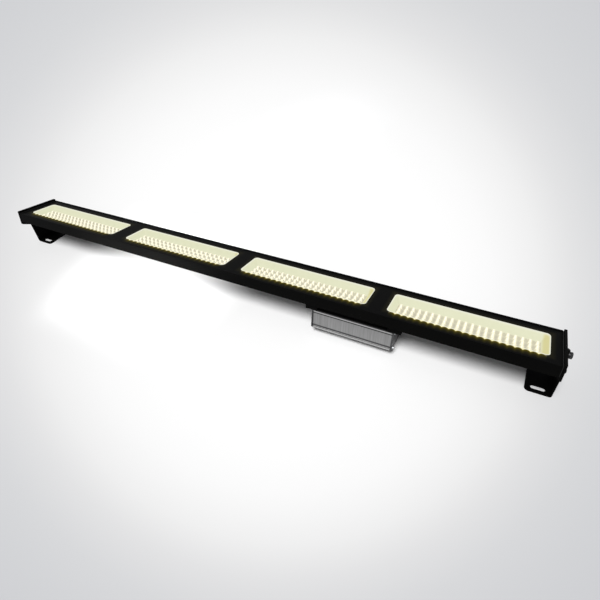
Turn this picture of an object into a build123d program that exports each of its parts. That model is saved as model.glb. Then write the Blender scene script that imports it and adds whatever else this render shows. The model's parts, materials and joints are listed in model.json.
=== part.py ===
"""A linear high bay light: a long black extruded housing with four lit windows in its
front cover, held between two brackets that turn on a bolt at each end.

X runs along the housing, Y across it and Z up. The mounting plane under the bracket
feet is Z = 0 and the lit face looks up, as the light stands on a bench. Every piece is
drawn with the housing level, and then all but the brackets lean over about the pivots.
"""

import os

from build123d import *

os.makedirs("parts", exist_ok=True)

# Whole light, in millimetres
body_length = 1200.0  # between the inner faces of the two end plates
body_width = 103.4
face_height = 85.0  # lit face above the mounting plane, before the body leans
body_lean = 10.5  # degrees about the pivots, with the side at -Y up
overrun = 1.0  # how far a cut runs past the faces that it opens

# Windows in the front cover
window_count = 4
window_margin = 18.5  # end plate to the first window
window_gap = 38.6
window_border = 20.45  # side of the housing to a window
window_radius = 7.0

# Housing extrusion
wall = 2.2
slab_depth = 19.0  # lit face down to the slab that carries the boards
slab_thickness = 3.0
rail_thickness = 1.0  # lip over the long edges of the cover
rail_reach = 1.3
ledge_thickness = 1.2
fin_count = 11
fin_margin = 8.7  # side of the housing to the outermost fin
fin_thickness = 1.6
fin_depth = 13.0
fin_flat_half = 24.0  # fins inside this distance from the middle reach full depth
rib_index = 2  # counted from the middle fin, these are thick and take screws
rib_width = 7.0
port_radius = 3.4  # round ports along the extrusion take the end plate screws
port_hole_radius = 2.0
port_drop = 10.0
port_bite = 0.6

# Front cover
cover_thickness = 2.0
cover_play = 0.1
cover_side_play = 0.15
cover_seam = 0.2  # between its lengths, one to a window

# Lens plates, boards and what lies between them, counted up from the slab
pad_thickness = 0.4
board_thickness = 1.6
chip_size = 3.0
chip_height = 0.6
chip_clearance = 0.3
lens_thickness = 2.0
lens_lap_x = 5.3  # lens plate past the floor opening of its tray
lens_lap_y = 5.5
lens_corner = 4.0
lens_columns = 21
lens_rows = 3
dome_margin_x = 5.7  # edge of the floor opening to the first dome
dome_margin_y = 7.0
dome_radius = 4.2
dome_base = 1.2
seal_width = 3.3
board_clearance = 1.5  # board edge to the inside of the seal
pad_inset = 1.0

# Reflector trays
tray_slope_x = 11.2  # how far the walls lean out from floor to mouth
tray_slope_y = 12.25
floor_radius = 2.0
tray_wall = 1.4
flange_thickness = 1.6
flange_reach_x = 5.0
flange_radius = 4.0
post_radius = 4.0
post_gap = 0.4
post_inset = 20.0
flange_lip = 0.5

# Small screws that hold the trays
tray_screw_radius = 1.5
tray_screw_head_radius = 2.7
tray_screw_head = 1.6
tray_screw_sink = 1.8
tray_screw_bite = 2.6
tray_screw_tip_gap = 0.2
screw_play = 0.05
head_play = 0.2

# End plates and their gaskets
gasket_thickness = 1.0
gasket_inset = 0.8
plate_thickness = 4.4
plate_proud = 3.6  # how far the plate stands above the lit face
plate_side_proud = 0.2
plate_side_depth = 28.6
plate_depth = 38.5
plate_flat_half = 26.0
plate_corner = 2.0
end_screw_radius = 1.95
end_screw_head_radius = 3.6
end_screw_head = 1.6
end_screw_length = 14.0
end_screw_socket = 1.25
end_screw_socket_depth = 0.9

# Pivots
pivot_radius = 3.0
pivot_nut_gap = 3.0  # between the nut and the slab under it
pivot_play = 0.05
spacer_thickness = 1.8
spacer_radius = 10.0
bracket_play = 0.1
washer_radius = 9.0
washer_thickness = 1.6
spring_washer_radius = 5.4
spring_washer_thickness = 1.6
spring_washer_split = 1.2
washer_hole_radius = 3.2
hex_across = 10.0
hex_head = 4.0
hex_chamfer = 0.6
nut_thickness = 5.0
bolt_past_nut = 2.0

# Brackets
bracket_thickness = 2.0
bracket_half_width = 32.0
bracket_boss_radius = 10.0  # round top of the bracket, about the pivot
bracket_shoulder_drop = 14.0  # pivot down to where the sides start
bracket_shoulder_radius = 12.0
bracket_bend = 2.5
foot_length = 42.3
foot_corner = 7.0
slot_length = 23.0
slot_width = 7.5
slot_inset = 21.7  # outer face of the bracket to the middle of a slot
slot_spacing = 42.0

# Driver case
driver_length = 159.0  # over its end caps
driver_height = 40.5
driver_width = 76.0
driver_lip_reach = 2.0
driver_lip = 3.0
driver_groove = 1.2
driver_groove_depth = 0.7
case_wall = 2.0
cap_thickness = 2.0
cap_corner = 2.0
cap_port_radius = 3.0
cap_screw_radius = 1.45
cap_screw_head_radius = 2.8
cap_screw_head = 2.0
cap_screw_length = 10.0
cap_screw_slot = 0.8
shelf_reach = 1.5
shelf_thickness = 1.5
shelf_height = 6.0

# Driver straps
strap_thickness = 2.0
strap_length = 24.0
strap_half_width = 42.0
strap_tab_height = 6.0
strap_screw_radius = 1.95
strap_screw_head_radius = 3.4
strap_screw_head = 2.2
rib_screw_length = 10.0
case_screw_length = 3.8
countersink_play = 0.1
strap_screw_step = 6.5  # from the end of the driver to either row of screws

# Lead bushing and harness
bushing_inset = 41.6  # right end of the driver to the bushing
bushing_radius = 6.0
bushing_bore = 4.0
bushing_collar = 8.0
bushing_stand = 3.0
bushing_play = 0.1
fin_pocket_radius = 9.5
lead_radius = 2.0
lead_lift = 0.1
lead_bend = 5.0
tap_radius = 0.75
tap_play = 0.1

# Driver inside
circuit_end_gap = 5.0
circuit_thickness = 1.6
circuit_play = 0.3
core_length = 34.0
core_width = 30.0
core_height = 24.0
core_leg = 6.0
coil_reach = 5.0
coil_play = 0.5
transformer_offset = -8.0  # along X from the middle of the circuit board
capacitor_radius = 8.0
capacitor_height = 24.0
capacitor_rim = 1.0
capacitor_inset = 18.0  # left end of the circuit board to the capacitors
capacitor_spacing = 19.0
choke_radius = 10.0
choke_hole = 4.0
choke_height = 9.0
choke_rounding = 2.0
choke_inset = 15.0  # right end of the circuit board to the choke
choke_y = 14.0
package_length = 10.0
package_width = 4.5
package_height = 15.0
package_stand = 4.0
package_spacing = 16.0
package_y = -24.0
package_inset = 18.0  # right end of the circuit board to between the transistors
leg_thickness = 0.9
leg_pitch = 2.5

# Mains gland
gland_y = 20.0
gland_thread_radius = 6.0
gland_bore = 3.5
gland_across = 18.0
gland_body = 6.0
gland_dome = 13.0
gland_dome_radius = 8.0
gland_tip_radius = 5.6
gland_nut_across = 15.0
gland_nut = 3.0
gland_tail = 1.0

# Heights and distances that follow from the sizes above
half_width = body_width / 2
half_length = body_length / 2
window_length = (body_length - 2 * window_margin + window_gap) / window_count - window_gap
window_width = body_width - 2 * window_border
fin_pitch = (body_width - 2 * fin_margin) / (fin_count - 1)
floor_length = window_length - 2 * tray_slope_x
floor_width = window_width - 2 * tray_slope_y
lens_length = floor_length + 2 * lens_lap_x
lens_width = floor_width + 2 * lens_lap_y
lens_pitch_x = (floor_length - 2 * dome_margin_x) / (lens_columns - 1)
lens_pitch_y = (floor_width - 2 * dome_margin_y) / (lens_rows - 1)
housing_half_length = half_length - gasket_thickness
slab_top = face_height - slab_depth
slab_bottom = slab_top - slab_thickness
fin_tip = slab_bottom - fin_depth
cover_top = face_height - rail_thickness - cover_play
cover_bottom = cover_top - cover_thickness
cover_half_width = half_width - wall - cover_side_play
board_bottom = slab_top + pad_thickness
board_top = board_bottom + board_thickness
lens_bottom = board_top + chip_height + chip_clearance
lens_top = lens_bottom + lens_thickness
board_length = lens_length - 2 * (seal_width + board_clearance)
board_width = lens_width - 2 * (seal_width + board_clearance)
post_y = window_width / 2 + post_gap + post_radius
flange_width = 2 * (post_y + post_radius + flange_lip)
flange_length = window_length + 2 * flange_reach_x
pivot_height = slab_top + pivot_nut_gap + hex_across / 2
pivot_axis = Axis((0, 0, pivot_height), (1, 0, 0))
window_pitch = window_length + window_gap
window_centres = [(i - (window_count - 1) / 2) * window_pitch for i in range(window_count)]
seam_places = [x + window_pitch / 2 for x in window_centres[:-1]]
post_x = window_length / 2 - post_inset
post_places = [(x, y) for x in (-post_x, post_x) for y in (-post_y, post_y)]
tray_screw_places = [(c + x, y) for c in window_centres for x, y in post_places]
upper_port = (half_width - wall - port_radius + port_bite, face_height - port_drop)
lower_port_column = (fin_count - 1) / 2 - 1
lower_port = (lower_port_column * fin_pitch, slab_bottom - port_radius + port_bite)
port_places = [(s * y, z) for s in (-1, 1) for y, z in (upper_port, lower_port)]
rib_y = rib_index * fin_pitch

# Distances from the middle of the light out to each layer of an end
plate_outer = half_length + plate_thickness
spacer_outer = plate_outer + spacer_thickness
bracket_inner = spacer_outer + bracket_play
bracket_outer = bracket_inner + bracket_thickness
washer_inner = bracket_outer + bracket_play
washer_outer = washer_inner + washer_thickness
head_inner = washer_outer + spring_washer_thickness
foot_end = bracket_outer - foot_length
slot_x = bracket_outer - slot_inset

# Driver places
bushing_x = (window_centres[-2] + window_centres[-1]) / 2
driver_x = bushing_x + bushing_inset - driver_length / 2
driver_top = fin_tip - strap_thickness
driver_bottom = driver_top - driver_height
driver_middle = (driver_top + driver_bottom) / 2
case_half_length = driver_length / 2 - cap_thickness
lip_half_width = driver_width / 2 + driver_lip_reach
shelf_z = driver_bottom + case_wall + shelf_height
circuit_bottom = shelf_z + circuit_play / 2
circuit_top = circuit_bottom + circuit_thickness
circuit_length = driver_length - 2 * (cap_thickness + circuit_end_gap)
circuit_width = driver_width - 2 * (case_wall + circuit_play)
circuit_left = driver_x - circuit_length / 2
circuit_right = driver_x + circuit_length / 2
inside_half_width = driver_width / 2 - case_wall
cap_port_y = inside_half_width - cap_port_radius + port_bite
cap_port_z = driver_height / 2 - case_wall - cap_port_radius + port_bite
cap_ports = [
    (y, driver_middle + z) for y in (-cap_port_y, cap_port_y) for z in (-cap_port_z, cap_port_z)
]
rib_screw_reach = driver_length / 2 + strap_screw_step
case_screw_reach = driver_length / 2 - strap_screw_step
rib_screw_places = [
    (driver_x + x, y) for x in (-rib_screw_reach, rib_screw_reach) for y in (-rib_y, rib_y)
]
case_screw_places = [
    (driver_x + x, y) for x in (-case_screw_reach, case_screw_reach) for y in (-rib_y, rib_y)
]
lead_y = (lens_width / 2 + post_y - post_radius) / 2
lead_z = slab_top + lead_lift + lead_radius
tap_z = (board_bottom + board_top) / 2


def fin_height(y):
    """Height of a fin at y: full in the middle, shorter towards the sides."""
    slope_share = (half_width - abs(y)) / (half_width - fin_flat_half)
    return fin_depth * min(1, slope_share)


def lean_over(piece):
    """Turns a finished piece of the body about the axis of the pivots."""
    piece.part = piece.part.rotate(pivot_axis, -body_lean)


def end_outline(side, top, side_bottom, flat_half, bottom):
    """Corner points of an end shape: upright sides, then a slope to a flat bottom."""
    right_half = [(side, top), (side, side_bottom), (flat_half, bottom)]
    left_half = [(-y, z) for y, z in reversed(right_half)]
    return right_half + left_half


# Housing
with BuildPart() as housing:
    with BuildSketch(Plane.YZ):
        with Locations((0, slab_bottom)):
            Rectangle(body_width, slab_thickness, align=(Align.CENTER, Align.MIN))
        for side in (-1, 1):
            with Locations((side * (half_width - wall / 2), slab_bottom)):
                Rectangle(wall, face_height - slab_bottom, align=(Align.CENTER, Align.MIN))
            lip_middle = side * (half_width - (wall + rail_reach) / 2)
            with Locations((lip_middle, face_height)):
                Rectangle(wall + rail_reach, rail_thickness, align=(Align.CENTER, Align.MAX))
            with Locations((lip_middle, cover_bottom)):
                Rectangle(wall + rail_reach, ledge_thickness, align=(Align.CENTER, Align.MAX))
        for number in range(fin_count):
            y = (number - (fin_count - 1) / 2) * fin_pitch
            is_rib = abs(number - (fin_count - 1) / 2) == rib_index
            with Locations((y, slab_bottom)):
                Rectangle(
                    rib_width if is_rib else fin_thickness,
                    fin_height(y),
                    align=(Align.CENTER, Align.MAX),
                )
        with Locations(*port_places):
            Circle(port_radius)
            Circle(port_hole_radius, mode=Mode.SUBTRACT)
    extrude(amount=housing_half_length, both=True)
    with BuildSketch(Plane.XY.offset(slab_top + overrun)):
        with Locations(*tray_screw_places):
            Circle(tray_screw_radius + screw_play)
    extrude(amount=-overrun - tray_screw_bite - tray_screw_tip_gap, mode=Mode.SUBTRACT)
    with BuildSketch(Plane.XY.offset(slab_bottom - overrun)):
        with Locations((bushing_x, 0)):
            Circle(bushing_radius + bushing_play)
    extrude(amount=slab_thickness + 2 * overrun, mode=Mode.SUBTRACT)
    with BuildSketch(Plane.XY.offset(slab_bottom)):
        with Locations((bushing_x, 0)):
            Circle(fin_pocket_radius)
    extrude(amount=-fin_depth - overrun, mode=Mode.SUBTRACT)
    with BuildSketch(Plane.XY.offset(fin_tip - overrun)):
        with Locations(*rib_screw_places):
            Circle(strap_screw_radius + screw_play)
    extrude(amount=rib_screw_length + overrun, mode=Mode.SUBTRACT)
lean_over(housing)
housing.part.label = "housing"
export_step(housing.part, "parts/housing.step")

# Front cover, which slides under the rails of the housing, in one length to a window
with BuildPart() as front_cover:
    with BuildSketch(Plane.XY.offset(cover_bottom)):
        Rectangle(2 * housing_half_length, 2 * cover_half_width)
        with Locations(*[(x, 0) for x in window_centres]):
            RectangleRounded(window_length, window_width, window_radius, mode=Mode.SUBTRACT)
        with Locations(*[(x, 0) for x in seam_places]):
            Rectangle(cover_seam, 2 * (cover_half_width + overrun), mode=Mode.SUBTRACT)
    extrude(amount=cover_thickness)
lean_over(front_cover)
front_cover.part.label = "front_cover"
export_step(front_cover.part, "parts/front_cover.step")

# Everything behind one window, four times over
for number, x in enumerate(window_centres, 1):
    with BuildPart() as reflector:
        with BuildSketch(Plane.XY.offset(lens_top)):
            with Locations((x, 0)):
                RectangleRounded(
                    floor_length + 2 * tray_wall,
                    floor_width + 2 * tray_wall,
                    floor_radius + tray_wall,
                )
        with BuildSketch(Plane.XY.offset(cover_bottom)):
            with Locations((x, 0)):
                RectangleRounded(
                    window_length + 2 * tray_wall,
                    window_width + 2 * tray_wall,
                    window_radius + tray_wall,
                )
        loft(ruled=True)
        with BuildSketch(Plane.XY.offset(cover_bottom)):
            with Locations((x, 0)):
                RectangleRounded(flange_length, flange_width, flange_radius)
        extrude(amount=-flange_thickness)
        with BuildSketch(Plane.XY.offset(cover_bottom)):
            with Locations(*[(x + px, py) for px, py in post_places]):
                Circle(post_radius)
        extrude(amount=slab_top - cover_bottom)
        with BuildSketch(Plane.XY.offset(lens_top)):
            with Locations((x, 0)):
                RectangleRounded(floor_length, floor_width, floor_radius)
        with BuildSketch(Plane.XY.offset(cover_bottom)):
            with Locations((x, 0)):
                RectangleRounded(window_length, window_width, window_radius)
        loft(ruled=True, mode=Mode.SUBTRACT)
        with Locations(*[(x + px, py, cover_bottom) for px, py in post_places]):
            CounterBoreHole(
                tray_screw_radius + screw_play,
                tray_screw_head_radius + head_play,
                tray_screw_sink,
            )
    lean_over(reflector)
    reflector.part.label = f"reflector_{number}"
    export_step(reflector.part, f"parts/reflector_{number}.step")

    with BuildPart() as lens_plate:
        with BuildSketch(Plane.XY.offset(lens_bottom)):
            with Locations((x, 0)):
                RectangleRounded(lens_length, lens_width, lens_corner)
        extrude(amount=lens_thickness)
        with BuildSketch(Plane.XY.offset(lens_top)):
            with Locations((x, 0)):
                with GridLocations(lens_pitch_x, lens_pitch_y, lens_columns, lens_rows):
                    Circle(dome_radius)
        extrude(amount=dome_base)
        with Locations((x, 0, lens_top + dome_base)):
            with GridLocations(lens_pitch_x, lens_pitch_y, lens_columns, lens_rows):
                Sphere(dome_radius, arc_size1=0)
    lean_over(lens_plate)
    lens_plate.part.label = f"lens_plate_{number}"
    export_step(lens_plate.part, f"parts/lens_plate_{number}.step")

    with BuildPart() as lens_seal:
        with BuildSketch(Plane.XY.offset(slab_top)):
            with Locations((x, 0)):
                RectangleRounded(lens_length, lens_width, lens_corner)
                Rectangle(
                    lens_length - 2 * seal_width,
                    lens_width - 2 * seal_width,
                    mode=Mode.SUBTRACT,
                )
        extrude(amount=lens_bottom - slab_top)
        with BuildSketch(Plane.XZ):
            with Locations((x, tap_z)):
                Circle(tap_radius + tap_play)
        extrude(amount=-lens_width, mode=Mode.SUBTRACT)
    lean_over(lens_seal)
    lens_seal.part.label = f"lens_seal_{number}"
    export_step(lens_seal.part, f"parts/lens_seal_{number}.step")

    with BuildPart() as led_board:
        with BuildSketch(Plane.XY.offset(board_bottom)):
            with Locations((x, 0)):
                Rectangle(board_length, board_width)
        extrude(amount=board_thickness)
    lean_over(led_board)
    led_board.part.label = f"led_board_{number}"
    export_step(led_board.part, f"parts/led_board_{number}.step")

    with BuildPart() as led_chips:
        with BuildSketch(Plane.XY.offset(board_top)):
            with Locations((x, 0)):
                with GridLocations(lens_pitch_x, lens_pitch_y, lens_columns, lens_rows):
                    Rectangle(chip_size, chip_size)
        extrude(amount=chip_height)
    lean_over(led_chips)
    led_chips.part.label = f"led_chips_{number}"
    export_step(led_chips.part, f"parts/led_chips_{number}.step")

    with BuildPart() as thermal_pad:
        with BuildSketch(Plane.XY.offset(slab_top)):
            with Locations((x, 0)):
                Rectangle(board_length - 2 * pad_inset, board_width - 2 * pad_inset)
        extrude(amount=pad_thickness)
    lean_over(thermal_pad)
    thermal_pad.part.label = f"thermal_pad_{number}"
    export_step(thermal_pad.part, f"parts/thermal_pad_{number}.step")

# Screws that clamp the trays, and with them the lens plates, to the slab
tray_head_bottom = cover_bottom - tray_screw_sink
with BuildPart() as tray_screws:
    with BuildSketch(Plane.XY.offset(tray_head_bottom)):
        with Locations(*tray_screw_places):
            Circle(tray_screw_head_radius)
    extrude(amount=tray_screw_head)
    with BuildSketch(Plane.XY.offset(tray_head_bottom)):
        with Locations(*tray_screw_places):
            Circle(tray_screw_radius)
    extrude(amount=slab_top - tray_screw_bite - tray_head_bottom)
lean_over(tray_screws)
tray_screws.part.label = "tray_screws"
export_step(tray_screws.part, "parts/tray_screws.step")

# Both ends of the light
for side, sign in (("left", -1), ("right", 1)):
    with BuildPart() as end_gasket:
        with BuildSketch(Plane.YZ.offset(sign * housing_half_length)):
            with BuildLine():
                Polyline(
                    *end_outline(
                        half_width - gasket_inset,
                        face_height - gasket_inset,
                        slab_bottom + gasket_inset,
                        fin_flat_half,
                        fin_tip + gasket_inset,
                    ),
                    close=True,
                )
            make_face()
            with Locations(*port_places):
                Circle(port_hole_radius, mode=Mode.SUBTRACT)
            with Locations((0, pivot_height)):
                RegularPolygon(
                    hex_across / 2 + pivot_nut_gap,
                    side_count=6,
                    major_radius=False,
                    mode=Mode.SUBTRACT,
                )
        extrude(amount=sign * gasket_thickness)
    lean_over(end_gasket)
    end_gasket.part.label = f"end_gasket_{side}"
    export_step(end_gasket.part, f"parts/end_gasket_{side}.step")

    with BuildPart() as end_plate:
        with BuildSketch(Plane.YZ.offset(sign * half_length)):
            with BuildLine():
                Polyline(
                    *end_outline(
                        half_width + plate_side_proud,
                        face_height + plate_proud,
                        face_height - plate_side_depth,
                        plate_flat_half,
                        face_height - plate_depth,
                    ),
                    close=True,
                )
            make_face()
            fillet(vertices(), radius=plate_corner)
            with Locations(*port_places):
                Circle(port_hole_radius, mode=Mode.SUBTRACT)
            with Locations((0, pivot_height)):
                Circle(pivot_radius + pivot_play, mode=Mode.SUBTRACT)
        extrude(amount=sign * plate_thickness)
    lean_over(end_plate)
    end_plate.part.label = f"end_plate_{side}"
    export_step(end_plate.part, f"parts/end_plate_{side}.step")

    with BuildPart() as end_screws:
        with BuildSketch(Plane.YZ.offset(sign * plate_outer)):
            with Locations(*port_places):
                Circle(end_screw_head_radius)
        extrude(amount=sign * end_screw_head)
        outer_faces = faces().sort_by(Axis.X, reverse=sign > 0)[: len(port_places)]
        fillet(outer_faces.edges(), radius=end_screw_head / 2)
        with BuildSketch(Plane.YZ.offset(sign * plate_outer)):
            with Locations(*port_places):
                Circle(end_screw_radius)
        extrude(amount=-sign * end_screw_length)
        with BuildSketch(Plane.YZ.offset(sign * (plate_outer + end_screw_head + overrun))):
            with Locations(*port_places):
                RegularPolygon(end_screw_socket, side_count=6, major_radius=False)
        extrude(amount=-sign * (end_screw_socket_depth + overrun), mode=Mode.SUBTRACT)
    lean_over(end_screws)
    end_screws.part.label = f"end_screws_{side}"
    export_step(end_screws.part, f"parts/end_screws_{side}.step")

    with BuildPart() as pivot_nut:
        with BuildSketch(Plane.YZ.offset(sign * half_length)):
            with Locations((0, pivot_height)):
                RegularPolygon(hex_across / 2, side_count=6, major_radius=False)
                Circle(pivot_radius + pivot_play, mode=Mode.SUBTRACT)
        extrude(amount=-sign * nut_thickness)
    lean_over(pivot_nut)
    pivot_nut.part.label = f"pivot_nut_{side}"
    export_step(pivot_nut.part, f"parts/pivot_nut_{side}.step")

    with BuildPart() as pivot_spacer:
        with BuildSketch(Plane.YZ.offset(sign * plate_outer)):
            with Locations((0, pivot_height)):
                Circle(spacer_radius)
                Circle(washer_hole_radius, mode=Mode.SUBTRACT)
        extrude(amount=sign * spacer_thickness)
    lean_over(pivot_spacer)
    pivot_spacer.part.label = f"pivot_spacer_{side}"
    export_step(pivot_spacer.part, f"parts/pivot_spacer_{side}.step")

    with BuildPart() as bracket:
        with BuildSketch(Plane.XZ):
            with BuildLine():
                Polyline(
                    (sign * foot_end, 0),
                    (sign * bracket_outer, 0),
                    (sign * bracket_outer, pivot_height + bracket_boss_radius),
                    (sign * bracket_inner, pivot_height + bracket_boss_radius),
                    (sign * bracket_inner, bracket_thickness),
                    (sign * foot_end, bracket_thickness),
                    close=True,
                )
            make_face()
            outer_corner = vertices().sort_by(Axis.Y)[:2].sort_by(Axis.X, reverse=sign > 0)[0]
            inner_corner = vertices().sort_by(Axis.Y)[2:4].sort_by(Axis.X, reverse=sign > 0)[0]
            fillet(outer_corner, radius=bracket_bend + bracket_thickness)
            fillet(inner_corner, radius=bracket_bend)
        extrude(amount=bracket_half_width, both=True)
        with BuildSketch(Plane.YZ.offset(sign * (foot_end - overrun))):
            Rectangle(
                2 * bracket_half_width,
                pivot_height - bracket_shoulder_drop,
                align=(Align.CENTER, Align.MIN),
            )
            with Locations((0, pivot_height)):
                Circle(bracket_boss_radius)
            make_hull()
            shoulders = vertices().group_by(Axis.Y)[1]
            fillet(shoulders, radius=bracket_shoulder_radius)
        extrude(amount=sign * (foot_length + 2 * overrun), mode=Mode.INTERSECT)
        foot_edges = edges().filter_by(Axis.Z).sort_by(Axis.X, reverse=sign < 0)[:2]
        fillet(foot_edges, radius=foot_corner)
        with BuildSketch(Plane.YZ.offset(sign * (bracket_inner - overrun))):
            with Locations((0, pivot_height)):
                Circle(pivot_radius + pivot_play)
        extrude(amount=sign * (bracket_thickness + 2 * overrun), mode=Mode.SUBTRACT)
        with BuildSketch(Plane.XY.offset(-overrun)):
            with Locations((sign * slot_x, 0)):
                with GridLocations(slot_length, slot_spacing, 1, 2):
                    SlotOverall(slot_length, slot_width)
        extrude(amount=bracket_thickness + 2 * overrun, mode=Mode.SUBTRACT)
    bracket.part.label = f"bracket_{side}"
    export_step(bracket.part, f"parts/bracket_{side}.step")

    with BuildPart() as pivot_washer:
        with BuildSketch(Plane.YZ.offset(sign * washer_inner)):
            with Locations((0, pivot_height)):
                Circle(washer_radius)
                Circle(washer_hole_radius, mode=Mode.SUBTRACT)
        extrude(amount=sign * washer_thickness)
    lean_over(pivot_washer)
    pivot_washer.part.label = f"pivot_washer_{side}"
    export_step(pivot_washer.part, f"parts/pivot_washer_{side}.step")

    with BuildPart() as spring_washer:
        with BuildSketch(Plane.YZ.offset(sign * washer_outer)):
            with Locations((0, pivot_height)):
                Circle(spring_washer_radius)
                Circle(washer_hole_radius, mode=Mode.SUBTRACT)
            with Locations((0, pivot_height + spring_washer_radius)):
                Rectangle(spring_washer_split, 2 * spring_washer_radius, mode=Mode.SUBTRACT)
        extrude(amount=sign * spring_washer_thickness)
    lean_over(spring_washer)
    spring_washer.part.label = f"spring_washer_{side}"
    export_step(spring_washer.part, f"parts/spring_washer_{side}.step")

    with BuildPart() as pivot_bolt:
        with BuildSketch(Plane.YZ.offset(sign * head_inner)):
            with Locations((0, pivot_height)):
                RegularPolygon(hex_across / 2, side_count=6, major_radius=False)
        extrude(amount=sign * hex_head)
        head_face = faces().sort_by(Axis.X)[-1 if sign > 0 else 0]
        chamfer(head_face.edges(), length=hex_chamfer)
        with BuildSketch(Plane.YZ.offset(sign * head_inner)):
            with Locations((0, pivot_height)):
                Circle(pivot_radius)
        extrude(amount=-sign * (head_inner - half_length + nut_thickness + bolt_past_nut))
    lean_over(pivot_bolt)
    pivot_bolt.part.label = f"pivot_bolt_{side}"
    export_step(pivot_bolt.part, f"parts/pivot_bolt_{side}.step")

# Driver case
with BuildPart() as driver_case:
    with BuildSketch(Plane.YZ.offset(driver_x)):
        with Locations((0, driver_middle)):
            Rectangle(driver_width, driver_height)
        with Locations((0, driver_top)):
            Rectangle(2 * lip_half_width, driver_lip, align=(Align.CENTER, Align.MAX))
        with Locations((0, driver_bottom)):
            Rectangle(2 * lip_half_width, driver_lip, align=(Align.CENTER, Align.MIN))
        groove_top = driver_top - driver_lip
        groove_bottom = driver_bottom + driver_lip
        for side in (-1, 1):
            with Locations((side * driver_width / 2, groove_top)):
                Rectangle(
                    2 * driver_groove_depth,
                    driver_groove,
                    align=(Align.CENTER, Align.MAX),
                    mode=Mode.SUBTRACT,
                )
            with Locations((side * driver_width / 2, groove_bottom)):
                Rectangle(
                    2 * driver_groove_depth,
                    driver_groove,
                    align=(Align.CENTER, Align.MIN),
                    mode=Mode.SUBTRACT,
                )
        with Locations((0, driver_middle)):
            Rectangle(
                2 * inside_half_width,
                driver_height - 2 * case_wall,
                mode=Mode.SUBTRACT,
            )
        for side in (-1, 1):
            shelf_middle = side * (inside_half_width - shelf_reach / 2)
            with Locations((shelf_middle, shelf_z)):
                Rectangle(shelf_reach, shelf_thickness, align=(Align.CENTER, Align.MAX))
            with Locations((shelf_middle, circuit_top + circuit_play / 2)):
                Rectangle(shelf_reach, shelf_thickness, align=(Align.CENTER, Align.MIN))
        with Locations(*cap_ports):
            Circle(cap_port_radius)
            Circle(cap_screw_radius + screw_play, mode=Mode.SUBTRACT)
    extrude(amount=case_half_length, both=True)
    with BuildSketch(Plane.XY.offset(driver_top + overrun)):
        with Locations((bushing_x, 0)):
            Circle(bushing_radius + bushing_play)
        with Locations(*case_screw_places):
            Circle(strap_screw_radius + screw_play)
    extrude(amount=-case_wall - 2 * overrun, mode=Mode.SUBTRACT)
lean_over(driver_case)
driver_case.part.label = "driver_case"
export_step(driver_case.part, "parts/driver_case.step")

# Driver end caps, the left one with the mains gland's hole
for side, sign in (("left", -1), ("right", 1)):
    with BuildPart() as driver_cap:
        with BuildSketch(Plane.YZ.offset(driver_x + sign * case_half_length)):
            with Locations((0, driver_middle)):
                RectangleRounded(2 * lip_half_width, driver_height, cap_corner)
            with Locations(*cap_ports):
                Circle(cap_screw_radius + screw_play, mode=Mode.SUBTRACT)
            if sign < 0:
                with Locations((gland_y, driver_middle)):
                    Circle(gland_thread_radius + screw_play, mode=Mode.SUBTRACT)
        extrude(amount=sign * cap_thickness)
    lean_over(driver_cap)
    driver_cap.part.label = f"driver_cap_{side}"
    export_step(driver_cap.part, f"parts/driver_cap_{side}.step")

# Screws in both caps
with BuildPart() as driver_cap_screws:
    for sign in (-1, 1):
        cap_face = driver_x + sign * driver_length / 2
        with BuildSketch(Plane.YZ.offset(cap_face)):
            with Locations(*cap_ports):
                Circle(cap_screw_head_radius)
        extrude(amount=sign * cap_screw_head)
        with BuildSketch(Plane.YZ.offset(cap_face)):
            with Locations(*cap_ports):
                Circle(cap_screw_radius)
        extrude(amount=-sign * cap_screw_length)
        with BuildSketch(Plane.YZ.offset(cap_face + sign * (cap_screw_head + overrun))):
            with Locations(*cap_ports):
                Rectangle(cap_screw_head_radius, cap_screw_slot)
                Rectangle(cap_screw_slot, cap_screw_head_radius)
        extrude(amount=-sign * (cap_screw_head / 2 + overrun), mode=Mode.SUBTRACT)
lean_over(driver_cap_screws)
driver_cap_screws.part.label = "driver_cap_screws"
export_step(driver_cap_screws.part, "parts/driver_cap_screws.step")

# Straps that hang the driver under the fins
for side, sign in (("left", -1), ("right", 1)):
    strap_x = driver_x + sign * driver_length / 2
    tab_y = strap_half_width - strap_thickness / 2
    with BuildPart() as driver_strap:
        with BuildSketch(Plane.XY.offset(driver_top)):
            with Locations((strap_x, 0)):
                Rectangle(strap_length, 2 * strap_half_width)
        extrude(amount=strap_thickness)
        with BuildSketch(Plane.XY.offset(driver_top)):
            with Locations((strap_x, -tab_y), (strap_x, tab_y)):
                Rectangle(strap_length, strap_thickness)
        extrude(amount=strap_thickness + strap_tab_height)
        bottom_edges = edges().filter_by(Axis.X).group_by(Axis.Z)[0]
        fillet(bottom_edges, radius=strap_thickness / 2)
        with Locations(*[(strap_x + sign * strap_screw_step, y, fin_tip) for y in (-rib_y, rib_y)]):
            Hole(strap_screw_radius + screw_play)
        with Locations(*[(strap_x - sign * strap_screw_step, y, fin_tip) for y in (-rib_y, rib_y)]):
            CounterSinkHole(
                strap_screw_radius + screw_play,
                strap_screw_head_radius + countersink_play,
                counter_sink_angle=90,
            )
    lean_over(driver_strap)
    driver_strap.part.label = f"driver_strap_{side}"
    export_step(driver_strap.part, f"parts/driver_strap_{side}.step")

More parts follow.
